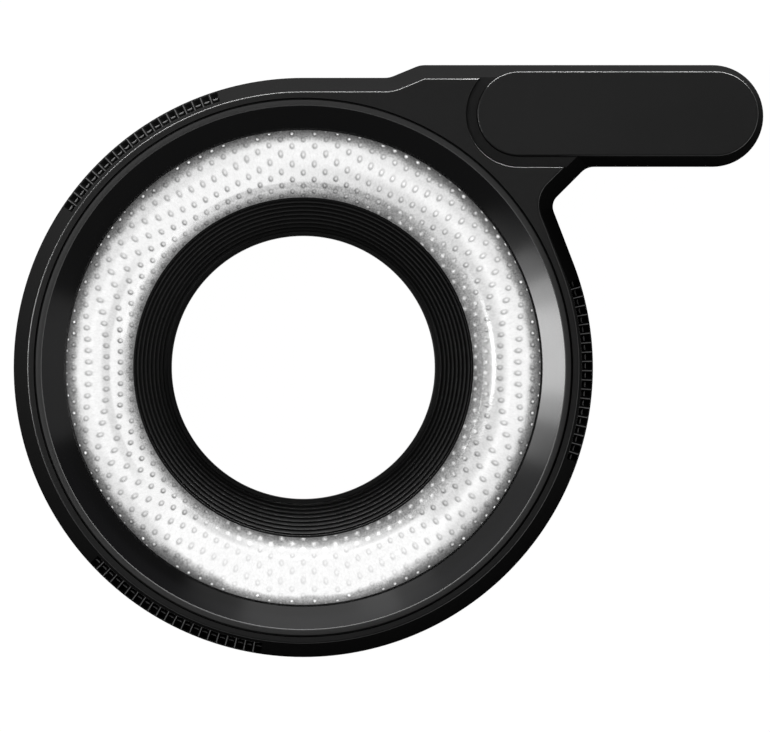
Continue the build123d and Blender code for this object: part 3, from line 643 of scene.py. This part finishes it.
# Front shell: one satin black polycarbonate moulding of ring, arm and pod, drawn off its mould towards the
# front, so its walls lean in. The moat round the pod's cap and the two rows of grip grooves are moulded in.
BASE, DEEP, LEAN, EDGE = 25.0, 11.0, 1.4, 0.16
ARM_TOP, STEP_START, STEP_END, STEP_BEND = 26.1, 7.41, 10.09, 2.0
POD_R, POD_REACH, POD_LEAN, MOAT_FLOOR, MOAT_R, MOAT_X = 4.395, 39.7, 0.74, 9.9, 4.57, 18.49
POD_Y, POD_BOTTOM, POD_X = ARM_TOP - POD_R, ARM_TOP - 2 * POD_R, POD_REACH - POD_R
WEB_TURN, WEB_CORNER, WEB_BEND, CROTCH_BEND = 21.0, 24.47, 1.5, 1.2


def stadium(left, right, radius):
    """The outline of a round-ended bar along the arm."""
    return arc((right, POD_Y), radius, -90, 90) + arc((left, POD_Y), radius, 90, 270)


# The web's edge leaves the ring along a tangent, turns out in a hollow corner and meets the pod's lower side
web_start = on_circle(BASE, WEB_TURN)
web_slope = tan(radians(WEB_TURN))
crotch_y = (web_start[0] + web_slope * web_start[1] - WEB_CORNER + POD_BOTTOM) / (1 + web_slope)
outline = arc((0, 0), BASE, 90, 360 + WEB_TURN, 1.5) + rounded(
    [
        on_circle(BASE, WEB_TURN - 1),
        (WEB_CORNER - POD_BOTTOM + crotch_y, crotch_y, CROTCH_BEND),
        (WEB_CORNER, POD_BOTTOM, WEB_BEND),
        (POD_X, POD_BOTTOM),
    ],
    closed=False,
    turn_step=7.5,
)[1:]
outline += arc((POD_X, POD_Y), POD_R, -90, 90)[1:]
outline += rounded(
    [(POD_X, ARM_TOP), (STEP_END, ARM_TOP, STEP_BEND), (STEP_START, BASE, STEP_BEND), (0, BASE)],
    closed=False,
    turn_step=5,
)[1:-1]


def leaning(width, height, edge, steps=3):
    """Insets for a wall that leans in by a width over a height, with a rounded edge at its top."""
    insets = [(width * (height - edge) / height, height - edge)]
    for n in range(steps):
        a, b = radians(90 * n / steps), radians(90 * (n + 1) / steps)
        insets.append((edge * (cos(a) - cos(b)), edge * (sin(b) - sin(a))))
    return insets


shell = raised("front_shell_moulding", outline, 0.0, leaning(LEAN, DEEP, EDGE))
# The moat's cutter flares at the top, which rounds the edge that it leaves
FLARE, FLARE_WIDE, FLARE_HIGH, ABOVE = [(0.035, -0.02), (0.025, -0.025), (0.01, -0.035)], 0.07, 0.08, 0.001
moat_insets = FLARE + [(0.0, MOAT_FLOOR - DEEP + FLARE_HIGH)]
carve(shell, raised("moat", stadium(MOAT_X, POD_X, MOAT_R + FLARE_WIDE), DEEP + ABOVE, moat_insets))
carve(shell, raised("pod", stadium(MOAT_X, POD_X, POD_R), 0.0, [(POD_LEAN, MOAT_FLOOR)]), "UNION")
# Room for mount and core plate at the rear, then for the light tray, and past a ledge for the bezel
POCKET_MOUTH, REAR_POCKET, INNER_POCKET, LEDGE_BORE = 23.85, 23.55, 23.07, 21.1
MOUTH_DEEP, LEDGE_LOW, LEDGE_TOP, PAST = 0.15, 7.75, 8.35, 1
pocket = turned(
    "pocket",
    [
        (0, -PAST),
        (POCKET_MOUTH, -PAST),
        (REAR_POCKET, MOUTH_DEEP),
        (REAR_POCKET, CORE_TOP),
        (INNER_POCKET, CORE_TOP),
        (INNER_POCKET, LEDGE_LOW),
        (LEDGE_BORE, LEDGE_LOW),
        (LEDGE_BORE, LEDGE_TOP),
        (INNER_POCKET, LEDGE_TOP),
        (INNER_POCKET, DEEP + PAST),
        (0, DEEP + PAST),
    ],
)
carve(shell, pocket)

# Seat of the arm's cover in the shell's rear
RING_WALL, COVER_R, COVER_LEFT, TAB, COVER_GAP, COVER_SEAT = 24.51, 3.495, 10.69, 1.6, 0.1, 1.6
WEB_SCREW, POD_SCREW = (20.47, 17.21), (36.3, 21.705)


def cover_outline(margin):
    """The arm cover's outline, grown by a margin: a round-ended bar with a screw tab and a hollow end."""
    wall = RING_WALL + COVER_GAP - margin
    half, left, tab = COVER_R + margin, COVER_LEFT - margin, TAB + margin
    high, low = POD_Y + half, POD_Y - half
    start = degrees(atan2(sqrt(wall**2 - left**2), left))
    end = degrees(asin(low / wall))
    return (
        arc((POD_X, POD_Y), half, -90, 90)
        + [(left, high)]
        + arc((0, 0), wall, start, end, 1.5)
        + [(WEB_SCREW[0] - tab, low)]
        + arc(WEB_SCREW, tab, 180, 360, 15)
        + [(WEB_SCREW[0] + tab, low)]
    )


carve(shell, raised("seat", cover_outline(COVER_GAP), -UNDER, [(0.0, UNDER + COVER_SEAT)]))

# Grip grooves: hip-ended valleys in two rows that lap over each other, cut square to the leaning wall
PATCHES = ((107.2, 146.4), (-19.4, 18.1), (222.4, 261.8))
GROOVE_TURN, GROOVE_FILL, GROOVE_DEEP, GROOVE_OVER, GROOVE_FLOOR = 1.84, 0.93, 0.34, 0.1, 0.04
PLAIN_REAR, PLAIN_FRONT, ROWS_LAP, END_MARGIN, LAP_MARGIN = 0.7, 2.2, 0.26, 0.03, 0.02
wall_tilt = atan2(LEAN, DEEP)
groove_wide = GROOVE_FILL * radians(GROOVE_TURN) * (BASE - LEAN / 2)
rows_end = DEEP - PLAIN_FRONT
row_high = (DEEP - PLAIN_REAR - PLAIN_FRONT + ROWS_LAP) / 2
grip_low, grip_high = PLAIN_REAR - END_MARGIN, rows_end + END_MARGIN
# The wall is parted into bands just past the rows' ends, so that the ridges are faces of their own
in_edit(shell)
for height in (grip_low, PLAIN_REAR + row_high + LAP_MARGIN, rows_end - row_high - LAP_MARGIN, grip_high):
    bpy.ops.mesh.select_all(action="SELECT")
    bpy.ops.mesh.bisect(plane_co=(0.0, 0.0, height * MM), plane_no=(0.0, 0.0, 1.0))
bpy.ops.object.mode_set(mode="OBJECT")
bpy.ops.object.select_all(action="DESELECT")
bpy.ops.mesh.primitive_cube_add(size=1.0)
wedge = bpy.context.object
for corner in wedge.data.vertices:
    out = corner.co.x > 0
    share = (GROOVE_DEEP + GROOVE_OVER) / GROOVE_DEEP if out else GROOVE_FLOOR
    corner.co = (
        GROOVE_OVER if out else -GROOVE_DEEP,
        (1 if corner.co.y > 0 else -1) * groove_wide / 2 * share,
        (1 if corner.co.z > 0 else -1) * (row_high / 2 + groove_wide / 2 * (share - 1)),
    )
for height in (PLAIN_REAR + row_high / 2, rows_end - row_high / 2):
    grooves = []
    for first, last in PATCHES:
        count = round((last - first) / GROOVE_TURN)
        for n in range(count):
            turn = radians(first + (n + 0.5) * (last - first) / count)
            groove = wedge.copy()
            groove.data = wedge.data.copy()
            bpy.context.scene.collection.objects.link(groove)
            groove.data.transform(
                Matrix.Rotation(turn, 4, "Z")
                @ Matrix.Translation((BASE - LEAN * height / DEEP, 0, height))
                @ Matrix.Rotation(-wall_tilt, 4, "Y")
            )
            groove.data.transform(Matrix.Scale(MM, 4))
            grooves.append(groove)
    carve(shell, joined(grooves))
bpy.data.objects.remove(wedge)

# Shell plastic: satin on the front, coarsely eroded on the walls, and rubbed smoother on the ridges
SHELL_BLACK = moulded_black("shell_black_satin", "#0d0d0d", 0.34, 0.45, 0.1, 0.002)
WALL_BLACK = moulded_black("wall_black_eroded", "#131313", 0.9, 0.0, 0.16, 0.008)
RIDGE_BLACK = moulded_black("ridge_black_rubbed", "#161616", 0.45, 0.1, 0.1, 0.002)
# Groove plastic with painted light: painted shade, dark inside the grooves, and a painted highlight, paler
# near the wall's face. Near and far are the depths between which the paler colour fades out.
groove_painted_light = []
for name, deep_shade, edge, near, far in (
    ("groove_black_painted_shade", "#050505", "#141414", 0.0, 0.12),
    ("groove_end_painted_highlight", "#060606", "#585858", 0.12, 0.26),
):
    material, tree = blank_material(name)
    place = add_node(tree, "TexCoord").outputs["Object"]
    flat = add_node(tree, "VectorMath", [place, (1 / MM, 1 / MM, 0.0)], operation="MULTIPLY")
    out = add_node(tree, "VectorMath", [flat], operation="LENGTH").outputs["Value"]
    height = add_node(tree, "SeparateXYZ", [place]).outputs["Z"]
    wall = add_node(tree, "Math", [height, -LEAN / DEEP / MM, BASE], operation="MULTIPLY_ADD")
    depth = add_node(tree, "Math", [wall, out], operation="SUBTRACT")
    shade = add_node(tree, "MixRGB", [patch((depth, near, far, 1.0, 0.0)), linear(deep_shade), linear(edge)])
    finish = {"Base Color": shade, "Roughness": 0.7, "Specular IOR Level": 0.0}
    add_node(tree, "OutputMaterial", [add_node(tree, "BsdfPrincipled", finish)])
    groove_painted_light.append(material)
dress(shell, SHELL_BLACK, "shell_black", "front_shell", other=WALL_BLACK, steep=(0, 20))
for material in (groove_painted_light[0], RIDGE_BLACK, groove_painted_light[1]):
    shell.data.materials.append(material)
PATCH_MARGIN = 0.1


def in_patch(face):
    """Whether a face of the shell's wall lies between the ends of a grip patch."""
    turns = [degrees(atan2(*shell.data.vertices[n].co.yx)) for n in face.vertices]
    for first, last in PATCHES:
        # Counted on from a degree before the patch, so that no turn starts again inside it
        counted = [(turn - first + 1) % 360 + first - 1 for turn in turns]
        if first - PATCH_MARGIN < min(counted) and max(counted) < last + PATCH_MARGIN:
            return True
    return False


# Grooves get the finish with painted shade inside and ridges the rubbed one. The groove ends that face
# forward get the brightest painted highlight, but for those of the rear row, which lie close to the table.
GROOVE_SLOT, RIDGE_SLOT, END_SLOT = 2, 3, 4
INSIDE, SUNK, FORWARD, REAR_ENDS = 23.3, 0.02, 0.4, 2
for face in shell.data.polygons:
    x, y, z = face.center / MM
    if hypot(x, y) < INSIDE or not grip_low < z < grip_high or not in_patch(face):
        continue
    face.material_index = GROOVE_SLOT if hypot(x, y) < BASE - LEAN * z / DEEP - SUNK else RIDGE_SLOT
    if face.normal.z > FORWARD and z > REAR_ENDS:
        face.material_index = END_SLOT

# Arm cover: a thin satin black plate that closes the light channel from behind, with a round window for the
# camera's lamp, held by two of the same small screws, one on a tab in the web.
LAMP_X, LAMP_R, COVER_LOW, COVER_TOP, HEAD_STOP, THROUGH, ROUND_STEPS = 31.2, 1.9, 0.5, 1.5, 1.0, 2, 48
COVER_EDGE, COVER_ROUND = 0.12, [(0.04, -0.08), (0.08, -0.04)]
cover_insets = [(0.0, COVER_LOW - COVER_TOP + COVER_EDGE)] + COVER_ROUND
cover = raised("arm_cover_plate", cover_outline(0.0), COVER_TOP, cover_insets)
lamp_mouth = [(LAMP_R + COVER_EDGE, 0), (LAMP_R + COVER_EDGE, COVER_LOW), (LAMP_R, COVER_LOW + COVER_EDGE)]
holes = [drill((LAMP_X, POD_Y), *lamp_mouth, (LAMP_R, THROUGH), steps=ROUND_STEPS)]
for place in (WEB_SCREW, POD_SCREW):
    head_room = [(HEAD_SEAT, 0), (HEAD_SEAT, HEAD_STOP)]
    holes.append(drill(place, *head_room, (SHANK_SEAT, HEAD_STOP), (SHANK_SEAT, THROUGH)))
for hole in holes:
    carve(cover, hole)
dress(cover, MOUNT_BLACK, "mount_black", "arm_rear_cover")

# Arm cover screws: the same blackened screws, shorter, in the cover's two stepped holes. They hold it to the
# shell, one in the web and one at the pod's end.
COVER_SCREW_LONG = 3.6
places = (WEB_SCREW, POD_SCREW)
screws = joined([cross_screw("cover_screw", place, COVER_LOW, COVER_SCREW_LONG) for place in places])
screws.name = "cover_screws_steel"
dress(screws, STEEL, "screw_black", "arm_cover_screws")

# Lamp window and light seal: a small clear acrylic disc in the cover, with a ring of soft black foam stuck
# round it that presses on the camera's face and keeps its lamp's light out of the picture.
WINDOW_R, WINDOW_LOW, SEAL_INNER, SEAL_OUTER, SEAL_ROUND, SEAL_STEPS = 2.05, 0.9, 2.1, 2.9, 0.12, 64
disc = [(0, WINDOW_LOW), (WINDOW_R, WINDOW_LOW), (WINDOW_R, COVER_TOP), (0, COVER_TOP)]
window = turned("lamp_window", disc, ROUND_STEPS, (LAMP_X, POD_Y))
dress(window, clear_acrylic, "window_clear", "inlet_window")
band = [(SEAL_INNER, 0.0, SEAL_ROUND), (SEAL_OUTER, 0.0, SEAL_ROUND)]
band += [(SEAL_OUTER, COVER_LOW), (SEAL_INNER, COVER_LOW)]
seal = turned("lamp_seal", band, SEAL_STEPS, (LAMP_X, POD_Y))
# Closed-cell foam: matt black rubber with small round pores
foam, tree = blank_material("foam_black_closed_cell")
place = add_node(tree, "TexCoord").outputs["Object"]
cells = add_node(tree, "TexVoronoi", {"Vector": place, "Scale": 1 / (0.18 * MM)})
pores = add_node(tree, "Bump", {"Height": cells.outputs["Distance"], "Distance": 0.05 * MM})
finish = {"Base Color": linear("#151515"), "Roughness": 0.95, "Normal": pores}
add_node(tree, "OutputMaterial", [add_node(tree, "BsdfPrincipled", finish)])
dress(seal, foam, "foam", "inlet_light_seal")

# Pod cap: a separate satin black moulding with rounded edges, held on the pod by tape and located by two
# pegs. Its plate is bare.
CAP_HIGH, CAP_EDGE, CAP_LEAN, CAP_SUNK, CAP_EDGE_STEPS = 0.9, 0.15, 0.04, 0.01, 4
cap_plate = stadium(MOAT_X, POD_X, POD_R - POD_LEAN)
cap_insets = leaning(CAP_LEAN * CAP_HIGH, CAP_HIGH + CAP_SUNK, CAP_EDGE, CAP_EDGE_STEPS)
cap = raised("pod_cap_plate", cap_plate, MOAT_FLOOR - CAP_SUNK, cap_insets)
CAP_BLACK = moulded_black("cap_black_satin", "#0d0d0d", 0.3, 0.5, 0.1, 0.002)
dress(cap, CAP_BLACK, "shell_black", "pod_cap", other=WALL_BLACK, steep=(0, 20))
